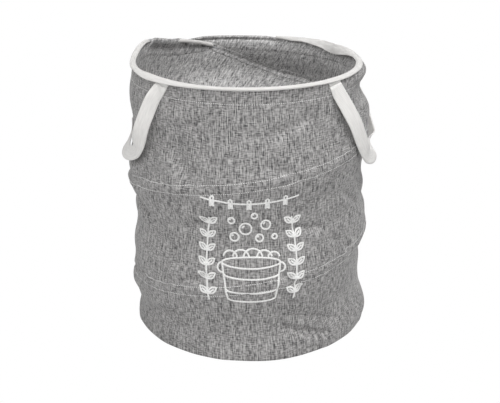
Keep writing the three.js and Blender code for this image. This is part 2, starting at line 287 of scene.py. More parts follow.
def on_ring(turn, radius, z, thick, share):
    """A point of a round section about a wire's centre."""
    angle = math.tau * share
    return place(turn, radius + thick * math.cos(angle), z + thick * math.sin(angle))


def coil_height(turn):
    return FOOT_WIRE_Z + (FOOT_TURN - turn) * PITCH / FULL_TURN


def wire_height(turn):
    if turn <= DIVE_TURN:
        return RIM_WIRE_Z
    if turn >= FOOT_TURN:
        return FOOT_WIRE_Z
    dive = smooth((turn - DIVE_TURN) / DIVE_RUN_TURN)
    return min(RIM_WIRE_Z, coil_height(turn) + DIVE_DROP * (1.0 - dive))


def above_wire(turn, z):
    """Height above the nearest run of the coil, negative below it."""
    nearest = HEIGHT
    for round_number in (1, 2, 3):
        along = turn % FULL_TURN + FULL_TURN * round_number
        if DIVE_TURN <= along <= FOOT_TURN:
            gap = z - wire_height(along)
            if abs(gap) < abs(nearest):
                nearest = gap
    return nearest


def back_roll(turn):
    """1 where the rim's cloth is loose at the back, 0 where the wire holds it."""
    return spell(turn % FULL_TURN, *ROLL_SPELL)


def corner_fold(turn):
    """1 where the cloth's edge folds in over the rim tape at the back left."""
    return spell(turn % FULL_TURN, *CORNER_SPELL)


def edge_rise(turn, z):
    """How far the loose edge of the cloth stands up past the frame's."""
    edge = smooth((z - (WALL_TOP - EDGE_DEPTH)) / EDGE_DEPTH)
    return edge * (ROLL_RISE * back_roll(turn) + CORNER_RISE * corner_fold(turn))


def dive_push(turn, z):
    """How far the diving wire pushes the cloth out: a crease and a seat along it, slack below it."""
    along = turn % FULL_TURN + FULL_TURN
    strength = spell(along, *DIVE_SPELL)
    if strength == 0.0:
        return 0.0
    gap = z - wire_height(along)
    away = gap / CREASE_ABOVE if gap > 0.0 else -gap / CREASE_BELOW
    crease = given().dive_push * max(0.0, 1.0 - away) ** 1.2
    seat = CASING_ARCH * hump(gap, RIDGE_HALF)
    slack = SLACK_DEPTH * hump(gap + SLACK_BELOW, SLACK_HALF)
    return strength * (crease + seat - slack)


def above_foot_below_neck(z):
    """Two shares that fade out towards the foot and towards the rim."""
    return smooth(z / FOOT_FADE), smooth((BINDING_LOW - z) / NECK_FADE)


def frame_radius(turn, z):
    """Outer radius of the frame's wall, the form that everything is fitted to."""
    foot, neck = above_foot_below_neck(z)
    mean = between(NECK_RADIUS, between(FOOT_RADIUS, BODY_RADIUS, foot), neck)
    return mean + BILLOW * foot * neck * math.cos(math.tau * (z - coil_height(turn)) / PITCH)


# Dents and swellings that a sewn wall keeps: turn, height, half spans in degrees and metres, depth
HOLLOWS = (
    (92, 0.034, 32, 0.014, -0.0030),
    (92, 0.070, 26, 0.007, 0.0048),
    (92, 0.090, 30, 0.012, -0.0040),
    (90, 0.150, 36, 0.026, 0.0072),
    (90, 0.228, 34, 0.014, -0.0100),
    (90, 0.268, 34, 0.009, -0.0055),
    (270, 0.134, 34, 0.020, -0.0072),
    (270, 0.200, 34, 0.013, 0.0030),
    (270, 0.242, 34, 0.017, 0.0058),
    (272, 0.434, 26, 0.012, 0.0100),
    (268, 0.405, 24, 0.014, -0.0020),
    (272, 0.372, 20, 0.022, 0.0095),
    (272, 0.020, 30, 0.016, 0.0050),
    (338, 0.006, 24, 0.014, 0.0020),
    (22, 0.006, 24, 0.014, 0.0018),
    (330, 0.046, 22, 0.022, -0.0022),
    (24, 0.060, 26, 0.024, 0.0014),
)

# Creases: turn and height of both ends, half width, depth
CREASES = (
    (343, 0.050, 318, 0.022, 0.0063, -0.0069),
    (336, 0.070, 312, 0.040, 0.0070, -0.0040),
    (338, 0.222, 322, 0.212, 0.0056, -0.0048),
    (345, 0.150, 334, 0.118, 0.0063, -0.0044),
    (318, 0.196, 304, 0.160, 0.0070, -0.0048),
    (306, 0.258, 292, 0.226, 0.0063, -0.0044),
    (20, 0.142, 40, 0.122, 0.0070, -0.0044),
    (12, 0.245, 34, 0.212, 0.0084, -0.0040),
    (36, 0.352, 26, 0.290, 0.0112, -0.0061),
    (24, 0.318, 12, 0.276, 0.0084, -0.0036),
    (52, 0.205, 70, 0.230, 0.0070, -0.0048),
    (48, 0.300, 66, 0.262, 0.0098, -0.0052),
    (58, 0.110, 78, 0.092, 0.0070, -0.0044),
    (44, 0.060, 62, 0.040, 0.0070, -0.0036),
    (350, 0.372, 330, 0.395, 0.0084, -0.0036),
    (352, 0.330, 334, 0.300, 0.0091, -0.0040),
    (20, 0.395, 38, 0.372, 0.0084, -0.0036),
    (160, 0.250, 190, 0.225, 0.0084, -0.0044),
    (208, 0.345, 232, 0.330, 0.0084, -0.0040),
    (120, 0.330, 146, 0.352, 0.0084, -0.0040),
    (240, 0.110, 262, 0.090, 0.0084, -0.0044),
    (128, 0.150, 150, 0.118, 0.0084, -0.0044),
)


def crease_depth(turn, z):
    sunk = 0.0
    for from_turn, from_z, to_turn, to_z, half_width, depth in CREASES:
        reach = math.radians(lap(to_turn, from_turn)) * BODY_RADIUS
        rise = to_z - from_z
        side = math.radians(lap(turn, from_turn)) * BODY_RADIUS
        up = z - from_z
        length = math.hypot(reach, rise)
        along = (side * reach + up * rise) / length
        off = (up * reach - side * rise) / length
        if abs(off) < 4.0 * half_width and -0.2 * length < along < 1.2 * length:
            ends = smooth((along / length + 0.2) * 3.0) * smooth((1.2 - along / length) * 3.0)
            fold = hump(off, half_width) - 0.55 * hump(off - 2.0 * half_width, 1.4 * half_width)
            sunk += depth * ends * fold
    return sunk


def cloth_waves(angle, z):
    """Slow waves of the cloth with quicker ones on them, and the waver of its puckers."""
    spot = Vector((math.sin(angle) * BODY_RADIUS, math.cos(angle) * BODY_RADIUS, z))
    waves = noise.noise(spot * 9.0) + 0.42 * noise.noise(spot * 24.0 + Vector((3.0, 7.0, 1.0)))
    return waves, noise.noise(spot * 95.0)


def casing_marks(gap, waver):
    """The ridge's crest, the sunk rows of stitches beside it, and the puckers between them."""
    marks = CREST_RISE * hump(gap, CREST_HALF)
    for row in (-CASING_STITCH, CASING_STITCH):
        marks -= ROW_SINK * hump(gap - row, ROW_HALF)
    return marks + given().pucker * waver * hump(abs(gap) - PUCKER_SPAN, PUCKER_SPAN)


def hem_marks(angle, z):
    """The hem's sunk row of stitches, with soft gathers below it."""
    hem = z - (WALL_TOP - HEM_STITCH)
    gathers = drift(math.sin(angle) * 19.0, math.cos(angle) * 19.0, z * 16.0 + 5.0)
    loose = GATHER_DEPTH * gathers * hump(hem + GATHER_BELOW, GATHER_HALF)
    return loose - HEM_ROW_SINK * hump(hem, HEM_ROW_HALF)


def loose_edge(turn, z):
    """The edge that rolls out where the wire has left the rim, and folds in at the corner."""
    roll = back_roll(turn)
    flare = given().rim_flare * smooth((z - (WALL_TOP - ROLL_DEPTH)) / ROLL_DEPTH)
    lip = ROLL_LIP_RISE * hump(z - (WALL_TOP - ROLL_LIP_LOW), ROW_HALF)
    folded = CORNER_IN * corner_fold(turn) * smooth((z - FOLD_LOW) / FOLD_FADE)
    return roll * (flare + lip) - folded


def wall_radius(turn, z):
    """Outer radius of the sewn wall: the frame's form with the cloth's own unevenness."""
    sizes = given()
    foot, neck = above_foot_below_neck(z)
    gap = above_wire(turn, z)
    angle = math.radians(turn)
    waves, waver = cloth_waves(angle, z)
    radius = frame_radius(turn, z)
    radius += sizes.swell * foot * neck * (1.3 * hump(gap, 0.016) - 0.3)
    radius += sizes.sag * between(0.25, 1.0, neck) * waves
    for at_turn, at_z, turn_span, z_span, depth in HOLLOWS:
        radius += depth * near(turn, at_turn, turn_span) * hump(z - at_z, z_span)
    radius += crease_depth(turn, z) + casing_marks(gap, waver) * neck + hem_marks(angle, z)
    radius -= FOOT_GROOVE_SINK * hump(z - FOOT_GROOVE_Z, FOOT_GROOVE_HALF)
    return radius + loose_edge(turn, z) + dive_push(turn, z)


def wire_radius_at(turn, seat):
    """Distance of the wire's centre from the axis, where it lies inside the cloth."""
    cloth = given().cloth
    z = wire_height(turn)
    if turn <= DIVE_TURN:
        return RIM_WIRE_RADIUS
    inside = wall_radius(turn, z) - cloth - CLEARANCE - seat
    enter = smooth((turn - DIVE_TURN) / (CASING_START_TURN - DIVE_TURN))
    return between(RIM_WIRE_RADIUS, inside, enter)


def foot_radius_at(turn):
    """Distance of the foot wire's centre from the axis: clear of the wall when that lies folded."""
    cloth = given().cloth
    clear = CLEARANCE + 0.0022 * smooth((turn - FOOT_TURN) / 20.0)
    return wall_radius(turn, 0.006) - cloth - clear - SLEEVE_RADIUS


# Meshes

def mapped_grid(columns, rows, position, size, closed=False, crowd=1.0):
    """A grid of shares bent by position(u, v), with a UV map in metres, its rows crowded upwards."""
    form = bmesh.new()
    layer = form.loops.layers.uv.new("UVMap")
    bmesh.ops.create_grid(form, x_segments=columns, y_segments=rows, size=0.5, calc_uvs=True)
    for vertex in form.verts:
        vertex.co.y = 0.5 - max(0.0, 0.5 - vertex.co.y) ** crowd
    for face in form.faces:
        for corner in face.loops:
            share = corner.vert.co
            corner[layer].uv = ((share.x + 0.5) * size[0], (share.y + 0.5) * size[1])
    for vertex in form.verts:
        vertex.co = position(vertex.co.x + 0.5, vertex.co.y + 0.5)
    if closed:
        bmesh.ops.remove_doubles(form, verts=form.verts, dist=1e-6)
    return form


def capped(form):
    edges = [edge for edge in form.edges if edge.is_boundary]
    bmesh.ops.holes_fill(form, edges=edges, sides=0)
    return form


def put(name, data):
    added = bpy.data.objects.new(name, data)
    bpy.context.scene.collection.objects.link(added)
    return added


def meshed(name, form, material):
    mesh = bpy.data.meshes.new(name)
    form.to_mesh(mesh)
    form.free()
    mesh.materials.append(material)
    return put(name, mesh)


def thicken(piece, thickness, offset):
    solidify = piece.modifiers.new("Thickness", "SOLIDIFY")
    solidify.thickness = thickness
    solidify.offset = offset
    solidify.use_even_offset = True
    solidify.thickness_clamp = 2.0


def new_piece(name, form, finish, body, node=None, thickness=0.0, offset=-1.0):
    """A piece with a finish made before, that rides a body and takes the place of a frame's node."""
    bmesh.ops.recalc_face_normals(form, faces=form.faces)
    piece = meshed(name, form, bpy.data.materials[finish])
    for polygon in piece.data.polygons:
        polygon.use_smooth = True
    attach(piece, body)
    if thickness:
        thicken(piece, thickness, offset)
    if node:
        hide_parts(node)
    return piece


def folds_with_wall(piece):
    """Gives the piece a mesh of its own."""
    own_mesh(piece)


# Materials

class Value:
    """One output of a material's nodes. A sum or product with it adds a Math node."""

    def __init__(self, finish, socket):
        self.finish = finish
        self.socket = socket

    def __add__(self, other):
        return self.finish.maths("ADD", self, other)

    def __sub__(self, other):
        return self.finish.maths("SUBTRACT", self, other)

    def __rsub__(self, other):
        return self.finish.maths("SUBTRACT", other, self)

    def __mul__(self, other):
        return self.finish.maths("MULTIPLY", self, other)

    __radd__ = __add__
    __rmul__ = __mul__


class Finish:
    """A material or a world, and its nodes."""

    def __init__(self, name, kind="materials"):
        self.owner = getattr(bpy.data, kind).new(name)
        self.owner.use_nodes = True
        self.tree = self.owner.node_tree
        self.tree.nodes.clear()

    def node(self, kind, settings=None, inputs=None, output=0):
        made = self.tree.nodes.new(kind)
        for name, value in (settings or {}).items():
            setattr(made, name, value)
        for name, value in (inputs or {}).items():
            if isinstance(value, Value):
                self.tree.links.new(value.socket, made.inputs[name])
            else:
                made.inputs[name].default_value = value
        return Value(self, made.outputs[output]) if made.outputs else None

    def maths(self, operation, first, second):
        return self.node("ShaderNodeMath", {"operation": operation}, {0: first, 1: second})

    def clamped(self, value, low, high):
        """The value's share of the way from low to high, kept within 0 and 1."""
        return self.node("ShaderNodeMapRange", {}, {"Value": value, "From Min": low, "From Max": high})

    def mixed(self, factor, first, second):
        return self.node("ShaderNodeMix", {"data_type": "RGBA"},
                         {0: factor, 6: (*first, 1.0), 7: (*second, 1.0)}, output=2)

    def shades(self, factor, colour, darkest):
        """From a dark share of the colour up to the colour itself."""
        return self.mixed(factor, [part * darkest for part in colour], colour)

    def cloth_place(self):
        return self.node("ShaderNodeUVMap", {"uv_map": "UVMap"})

    def piece_place(self):
        return self.node("ShaderNodeTexCoord", output="Object")

    def noise(self, vector, stretch=None, scale=1.0, detail=2.0):
        if stretch:
            vector = self.node("ShaderNodeVectorMath", {"operation": "MULTIPLY"}, {0: vector, 1: stretch})
        return self.node("ShaderNodeTexNoise", {}, {"Vector": vector, "Scale": scale, "Detail": detail})

    def bands(self, vector, direction, scale, distortion):
        return self.node("ShaderNodeTexWave", {"bands_direction": direction},
                         {"Vector": vector, "Scale": scale, "Distortion": distortion})

    def bump(self, height, distance, strength):
        return self.node("ShaderNodeBump", {}, {"Height": height, "Distance": distance, "Strength": strength})

    def surface(self, **inputs):
        named = {name.replace("_", " "): value for name, value in inputs.items()}
        shader = self.node("ShaderNodeBsdfPrincipled", {}, named)
        self.node("ShaderNodeOutputMaterial", {}, {"Surface": shader})
        return self.owner


def melange(name, dark, light, spread, streak):
    """Linen-look cloth: short dashes of dark and light yarn along both directions of the weave."""
    finish = Finish(name)
    cloth = finish.cloth_place()
    wander = finish.noise(cloth, (22.0, 22.0, 0.0), detail=1.0) * 0.004
    cloth = finish.node("ShaderNodeVectorMath", {"operation": "ADD"}, {0: cloth, 1: wander})
    turned = (0.0, 0.0, math.radians(-52.0))
    slanted = finish.node("ShaderNodeMapping", {}, {"Vector": cloth, "Rotation": turned})
    warp = finish.noise(cloth, (640.0, 96.0, 0.0), detail=1.0)
    weft = finish.noise(cloth, (120.0, 600.0, 0.0), detail=1.0)
    slub = finish.noise(cloth, (640.0, 26.0, 0.0), detail=0.0)
    drawn = finish.noise(slanted, (70.0, 420.0, 0.0), detail=1.0)
    patch = finish.noise(cloth, (30.0, 24.0, 0.0))
    yarn = warp * (0.54 - 0.6 * streak) + weft * (0.44 - 0.3 * streak) + slub * (0.24 - 0.4 * streak)
    yarn = yarn + drawn * (1.3 * streak) + patch * 0.08 - 0.15
    share = finish.clamped(yarn, 0.5 - spread, 0.5 + spread)
    threads, picks = (finish.bands(cloth, direction, 210.0, 0.6) for direction in "XY")
    height = threads * 0.25 + picks * 0.25 + yarn
    return finish.surface(
        Base_Color=finish.mixed(share, dark, light),
        Roughness=finish.clamped(yarn, 1.2, -0.6) * 0.5 + 0.42,
        Normal=finish.bump(height, 0.00035, 0.55), Sheen_Weight=0.12)


def woven_tape(name, colour, rib, slub):
    """Ribbed off-white tape, a little uneven and grubby."""
    finish = Finish(name)
    cloth = finish.cloth_place()
    ribs = finish.bands(cloth, "X", rib, 0.8)
    ends = finish.bands(cloth, "Y", rib * 1.4, 0.5)
    uneven = finish.noise(cloth, (60.0, slub, 0.0), detail=3.0)
    shade = finish.clamped(uneven + ribs * 0.22 + ends * 0.10, 0.25, 0.95)
    return finish.surface(
        Base_Color=finish.shades(shade, colour, 0.80), Roughness=shade * -0.12 + 0.88,
        Normal=finish.bump(ribs * 0.6 + ends * 0.4 + uneven * 0.4, 0.0003, 0.6), Sheen_Weight=0.1,
        Subsurface_Weight=0.5, Subsurface_Radius=(1.0, 1.0, 1.0), Subsurface_Scale=0.003)


def grained(name, colour, darkest, rough, rougher=0.0, relief=None, spread=None, metal=0.0, **fineness):
    """Thread, ink, steel or plastic: a fine grain that shades it, and may roughen and raise it."""
    finish = Finish(name)
    grain = finish.noise(finish.piece_place(), **fineness)
    share = finish.clamped(grain, *spread) if spread else grain
    raised = {"Normal": finish.bump(grain, *relief)} if relief else {}
    return finish.surface(
        Base_Color=finish.shades(share, colour, darkest), Metallic=metal,
        Roughness=grain * rougher + rough if rougher else rough, **raised)


class HAMPER_OT_finishes(bpy.types.Operator):
    """Makes the cloth, tape, webbing, thread, print, steel and plastic finishes"""
    bl_idname = "hamper.finishes"
    bl_label = "Finishes"

    def execute(self, context):
        colours = context.scene.hamper_colours
        melange("melange_cloth", colours.cloth_dark, colours.cloth_light, 0.15, 0.0)
        # the coated back inside the wall, casing and hem, lighter than the cloth: partly the real coating,
        # partly painted light for the light inside
        melange("coated_back", colours.back_dark, colours.back_light, 0.15, 0.35)
        woven_tape("rim_tape", colours.tape, 330.0, 500.0)
        woven_tape("handle_webbing", colours.web, 230.0, 420.0)
        woven_tape("seam_tape", [part * 0.75 for part in colours.tape], 330.0, 500.0)
        grained("stitching", colours.thread, 0.80, 0.70, relief=(0.0002, 0.4), scale=900.0, detail=1.0)
        grained("print_ink", colours.ink, 0.72, 0.75, relief=(0.0002, 0.4), spread=(0.30, 0.62),
                stretch=(420.0, 420.0, 900.0))
        grained("spring_wire", colours.steel, 0.82, 0.24, 0.20, metal=1.0, stretch=(260.0, 260.0, 700.0))
        grained("sleeve_plastic", colours.sleeve, 0.92, 0.40, 0.15, relief=(0.0001, 0.3), scale=600.0)
        return {"FINISHED"}


class HAMPER_OT_camera(bpy.types.Operator):
    """Places the camera where the photograph was taken from"""
    bl_idname = "hamper.camera"
    bl_label = "Camera"

    def execute(self, context):
        data = bpy.data.cameras.new("camera")
        data.sensor_width = 36.0
        data.lens = CAMERA_LENS
        data.shift_x = CAMERA_SHIFT
        camera = put("camera", data)
        camera.location = CAMERA_PLACE
        camera.rotation_euler = (math.radians(CAMERA_TILT), 0.0, 0.0)
        context.scene.camera = camera
        return {"FINISHED"}


class HAMPER_OT_wall(bpy.types.Operator):
    """Sews the wall: one tube of cloth round the wire, loose at the back of the rim"""
    bl_idname = "hamper.wall"
    bl_label = "Wall"

    def execute(self, context):
        def position(u, v):
            turn = SEAM_TURN + u * FULL_TURN
            z = v * WALL_TOP
            return place(turn, wall_radius(turn, z), z + edge_rise(turn, z))

        form = mapped_grid(296, 142, position, (math.tau * BODY_RADIUS, WALL_TOP), closed=True, crowd=1.25)
        wall = new_piece("wall_cloth", form, "melange_cloth", "base", "wall_panel", given().cloth)
        # the wall's inner faces take the coated back, made lighter partly with painted light
        wall.data.materials.append(bpy.data.materials["coated_back"])
        wall.modifiers["Thickness"].material_offset = 1
        return {"FINISHED"}


class HAMPER_OT_base(bpy.types.Operator):
    """Lays the base disc, with the seam tape round its edge"""
    bl_idname = "hamper.base"
    bl_label = "Base"

    def execute(self, context):
        cloth = given().cloth

        def disc(u, v):
            turn = u * FULL_TURN
            edge = wall_radius(turn, 0.001) - cloth - CLEARANCE
            spot = place(turn, edge * v, 0.0)
            ripple = drift(spot.x * 16.0, spot.y * 16.0, 2.0)
            spot.z = 0.0014 + 0.0016 * (0.5 + ripple) * smooth((1.0 - v) * 6.0) * smooth(v * 8.0)
            return spot

        form = mapped_grid(120, 40, disc, (1.0, 1.0), closed=True)
        layer = form.loops.layers.uv.active
        for face in form.faces:
            for corner in face.loops:
                corner[layer].uv = (corner.vert.co.x, corner.vert.co.y)
        new_piece("base_cloth", form, "melange_cloth", "base", "base_panel", 0.0012)

        low = 0.0040
        slope = 0.0075
        reach = 0.0120
        behind = cloth + 0.0014

        def tape(u, v):
            """Down the wall, over the foot wire in a slope, then in along the base."""
            turn = between(FOOT_TURN, TAPE_END_TURN, u)
            if v < 0.4:
                z = low + between(reach, slope, v / 0.4)
                return place(turn, wall_radius(turn, z) - behind, z)
            wall = wall_radius(turn, low + slope) - behind
            if v < 0.6:
                share = (v - 0.4) / 0.2
                return place(turn, wall - slope * share, low + slope * (1.0 - share))
            return place(turn, wall - between(slope, reach, (v - 0.6) / 0.4), low)

        form = mapped_grid(150, 10, tape, (1.07, 0.020))
        folds_with_wall(
            new_piece("base_seam_cloth", form, "seam_tape", "base", "base_seam_tape", 0.0009))
        return {"FINISHED"}


class HAMPER_OT_casing(bpy.types.Operator):
    """Sews the wire's casing inside the wall, and the hem inside the rim"""
    bl_idname = "hamper.casing"
    bl_label = "Casing and hem"

    def execute(self, context):
        cloth = given().cloth

        def casing(u, v):
            turn = between(BINDING_TO - 1.0, CASING_END_TURN, u)
            half = CASING_WIDTH * 0.45
            across = between(-half, half, v)
            z = wire_height(turn) + across
            arch = CASING_ARCH * hump(across, RIDGE_HALF)
            sunk = 0.0013 * (smooth(1.0 - v * 6.0) + smooth(v * 6.0 - 5.0))
            return place(turn, wall_radius(turn, z) - cloth - CLEARANCE - arch + sunk, z)

        form = mapped_grid(440, 12, casing, (2.66, CASING_WIDTH))
        # the casing takes the coated back, made lighter partly with painted light
        new_piece("casing_cloth", form, "coated_back", "base", "coil_casing", 0.0008)

        def hem(u, v):
            turn = SEAM_TURN + u * FULL_TURN
            z = WALL_TOP - HEM_HEIGHT * (1.0 - v) - 0.0006
            radius = wall_radius(turn, z) - cloth - between(-0.0009, 0.0004, smooth(v * 3.0))
            return place(turn, radius, z + edge_rise(turn, z))

        form = mapped_grid(240, 10, hem, (1.17, HEM_HEIGHT), closed=True)
        # the hem takes the coated back, made lighter partly with painted light
        new_piece("hem_cloth", form, "coated_back", "rim", "rim_facing", 0.0006)
        return {"FINISHED"}


class HAMPER_OT_wire(bpy.types.Operator):
    """Bends the spring wire in its three lengths, and sets a sleeve on each end"""
    bl_idname = "hamper.wire"
    bl_label = "Wire"

    def execute(self, context):
        def run(name, start, end, body, node, steps):
            def point(u, v):
                turn = between(start, end, u)
                if turn > FOOT_TURN:
                    radius = foot_radius_at(turn)
                else:
                    seat = between(WIRE_RADIUS, SLEEVE_RADIUS, smooth((turn - FOOT_TURN + 30.0) / 30.0))
                    radius = wire_radius_at(turn, seat)
                return on_ring(turn, radius, wire_height(turn), WIRE_RADIUS, v)
            form = capped(mapped_grid(steps, 10, point, (1.0, 1.0), closed=True))
            new_piece(name, form, "spring_wire", body, node)

        sleeve_turn = math.degrees((SLEEVE_LENGTH - 0.011) / RIM_WIRE_RADIUS)
        run("rim_wire", WIRE_START_TURN + sleeve_turn, DIVE_TURN - 0.1, "rim", "wire_top_loop", 200)
        run("coil_wire", DIVE_TURN, FOOT_TURN, "base", "wire_coil", 480)
        run("foot_wire", FOOT_TURN + 0.1, FOOT_END_TURN - sleeve_turn, "base", "wire_bottom_loop", 220)

        def sleeve(name, turn, onwards, radius, z, body, node):
            def point(u, v):
                thick = SLEEVE_RADIUS * math.sqrt(max(0.0, 1.0 - (1.0 - min(1.0, u * 8.0)) ** 2))
                if u > 0.95:
                    thick = between(SLEEVE_RADIUS, WIRE_RADIUS + 0.0002, (u - 0.95) / 0.05)
                along = turn + onwards * math.degrees(SLEEVE_LENGTH / radius) * u
                return on_ring(along, radius, z, thick, v)
            form = capped(mapped_grid(24, 16, point, (1.0, 1.0), closed=True))
            new_piece(name, form, "sleeve_plastic", body, node)

        sleeve("rim_wire_sleeve", WIRE_START_TURN, 1.0, RIM_WIRE_RADIUS, RIM_WIRE_Z,
               "rim", "wire_top_sleeve")
        sleeve("foot_wire_sleeve", FOOT_END_TURN, -1.0, foot_radius_at(FOOT_END_TURN), FOOT_WIRE_Z,
               "base", "wire_bottom_sleeve")
        return {"FINISHED"}


# Where the tape is wider, slit, turned up and turned down: turn, half span in degrees, amount
TAPE_SWELLS = ((50.0, 20.0, 0.40), (296.0, 26.0, 0.26), (FLAP_TURN, FLAP_SPREAD, 0.62))
TAPE_SLITS = ((214.0, 5.0, 1.0), (226.0, 6.0, 1.0))
TAPE_RAISED = ((212.0, 16.0, 30.0), (FLAP_TURN, FLAP_SPREAD, 68.0))
TAPE_LOWERED = ((50.0, 22.0, 24.0), (316.0, 20.0, 12.0))


def total(turn, spots):
    """The amounts of a table's spots that reach a turn."""
    return sum(amount * near(turn, about, half) for about, half, amount in spots)


class HAMPER_OT_binding(bpy.types.Operator):
    """Folds the tape round the rim, over the wire and the edge of the cloth"""
    bl_idname = "hamper.binding"
    bl_label = "Rim binding"

    def execute(self, context):
        form = capped(mapped_grid(420, 28, self.tape, (1.08, 0.030), closed=True))
        new_piece("rim_binding", form, "rim_tape", "rim", "top_binding")
        return {"FINISHED"}

    def centre(self, turn):
        """Radius and height of the tape: level with the rim wire, then down beside it in the cloth."""
        corner = corner_fold(turn)
        radius = RIM_WIRE_RADIUS - TAPE_IN + 0.0030 * corner
        if turn <= DIVE_TURN - DIP_TURNS:
            return radius, RIM_WIRE_Z - TAPE_DROP - 0.0020 * corner
        z = RIM_WIRE_Z - TAPE_DROP - 0.78 * (RIM_WIRE_Z - wire_height(turn))
        beside = wire_radius_at(turn, WIRE_RADIUS) - 0.0012
        return between(radius, beside, smooth((turn - DIVE_TURN + DIP_TURNS) / DIP_TURNS)), z

    def tape(self, u, v):
        """Flat in front, its inner flap open at the back right, and a tube where it dives."""
        sizes = given()
        turn = between(BINDING_FROM, BINDING_TO, u)
        angle = math.tau * v
        start = smooth((turn - BINDING_FROM) / 10.0)
        tube = smooth((turn - TUBE_TURN) / 16.0)
        tip = smooth((BINDING_TO - turn) / 1.0 + 0.3)
        opened = near(turn, FLAP_TURN, FLAP_SPREAD)
        gap = total(turn, TAPE_SLITS)
        width = 0.78 + total(turn, TAPE_SWELLS) + 0.10 * drift(turn * 0.09, 3.0, 0.0)
        width *= 0.5 * sizes.binding_width * between(0.45, 1.0, start)
        depth = 0.5 * sizes.binding_depth * (1.06 + 0.09 * drift(turn * 0.16, 9.0, 0.0))
        width = between(width, 0.0040, tube) * tip
        crown = 0.58 + 0.42 * hump(math.cos(angle) * width, 0.0040)
        depth = between(depth * crown, 0.0035, tube) * tip
        out = width * math.copysign(abs(math.cos(angle)) ** 0.85, math.cos(angle))
        out *= 1.0 - 0.55 * min(1.0, gap) * max(0.0, -math.cos(angle))
        up = depth * math.copysign(abs(math.sin(angle)) ** 0.9, math.sin(angle))
        waver = 7.0 * drift(turn * 0.045, 1.0, 4.0)
        turned = 2.0 + min(72.0, total(turn, TAPE_RAISED)) - total(turn, TAPE_LOWERED)
        twist = math.radians(turned + waver * (1.0 - 0.7 * opened))
        radius, z = self.centre(turn)
        spread = out * math.cos(twist) - up * math.sin(twist)
        spread -= (0.0030 * gap + 0.0022 * opened) * max(0.0, -math.cos(angle)) + 0.0014 * opened
        spread += 0.0010 * (opened + gap) * drift(turn * 0.30, 2.0, 0.0)
        rise = out * math.sin(twist) + up * math.cos(twist) - opened * (width - 0.0052)
        return place(turn, radius + spread, z + rise)


class Loop(NamedTuple):
    """How one handle hangs: the fall of its front and rear leg, and how its web is turned on the way.

    Each leg says how far back it leans at the top, how steeply it falls there and how wide its bend is
    below. The splays and the curl are in degrees, and hug has the front leg's and the rear one's.
    """
    side: float
    front: tuple
    rear: tuple
    middle: float
    splay: float
    rear_splay: float
    top_splay: float
    curl: float
    hug: tuple
    low_off: float

    def ahead(self, u):
        """Above 0 in the front leg, below 0 in the rear one."""
        return math.copysign(0.5 - u, (0.5 - u) * self.side)

    def sewn(self, leg):
        """Share of the loop that is sewn down at the end of a leg."""
        return (WALL_TOP - SEWN_LOW) / (6.0 * leg[1] * (WALL_TOP - self.middle))

    def centre(self, u):
        """Turn from the loop's side, and height, at a share of the way along the loop."""
        lean, steepness, roundness = self.front if self.ahead(u) >= 0.0 else self.rear
        share = 1.0 - abs(2.0 * u - 1.0)
        rest = 1.0 - share
        ends = ((1.0, WALL_TOP), (lean, between(WALL_TOP, self.middle, steepness)),
                (roundness, self.middle), (0.0, self.middle))
        weights = (rest ** 3, 3.0 * rest * rest * share, 3.0 * rest * share * share, share ** 3)
        part, z = (sum(weight * end[axis] for weight, end in zip(weights, ends)) for axis in (0, 1))
        return math.copysign(part * HANDLE_HALF_TURN, u - 0.5), z

    def radius(self, z, in_front, low):
        """Distance from the axis of the web's middle, before it is splayed."""
        fallen = BINDING_LOW - z
        share = kept(fallen / (BINDING_LOW - self.middle))
        over_wall = (SIDE_RADIUS - WEB_RADIUS) * smooth(fallen / NECK_FADE)
        stand_off = HANDLE_STAND_OFF * math.sin(share * math.pi / 2.0) * smooth(fallen / 0.03)
        drop = kept((WALL_TOP - z) / (WALL_TOP - self.middle))
        hug = between(self.hug[1], self.hug[0], in_front) * math.sin(math.pi * drop)
        return WEB_RADIUS - 0.0006 + over_wall + stand_off - hug + self.low_off * low


LOOPS = {
    "left": Loop(side=90.0, front=(0.70, 0.45, 1.0), rear=(0.70, 0.45, 1.0), middle=0.3035,
                 splay=36.0, rear_splay=8.0, top_splay=-4.0, curl=38.0,
                 hug=(0.005, 0.0), low_off=-0.0085),
    "right": Loop(side=-90.0, front=(0.60, 0.90, 0.68), rear=(0.36, 0.45, 0.32), middle=0.2955,
                  splay=19.0, rear_splay=28.0, top_splay=7.0, curl=32.0,
                  hug=(0.003, 0.004), low_off=0.0),
}


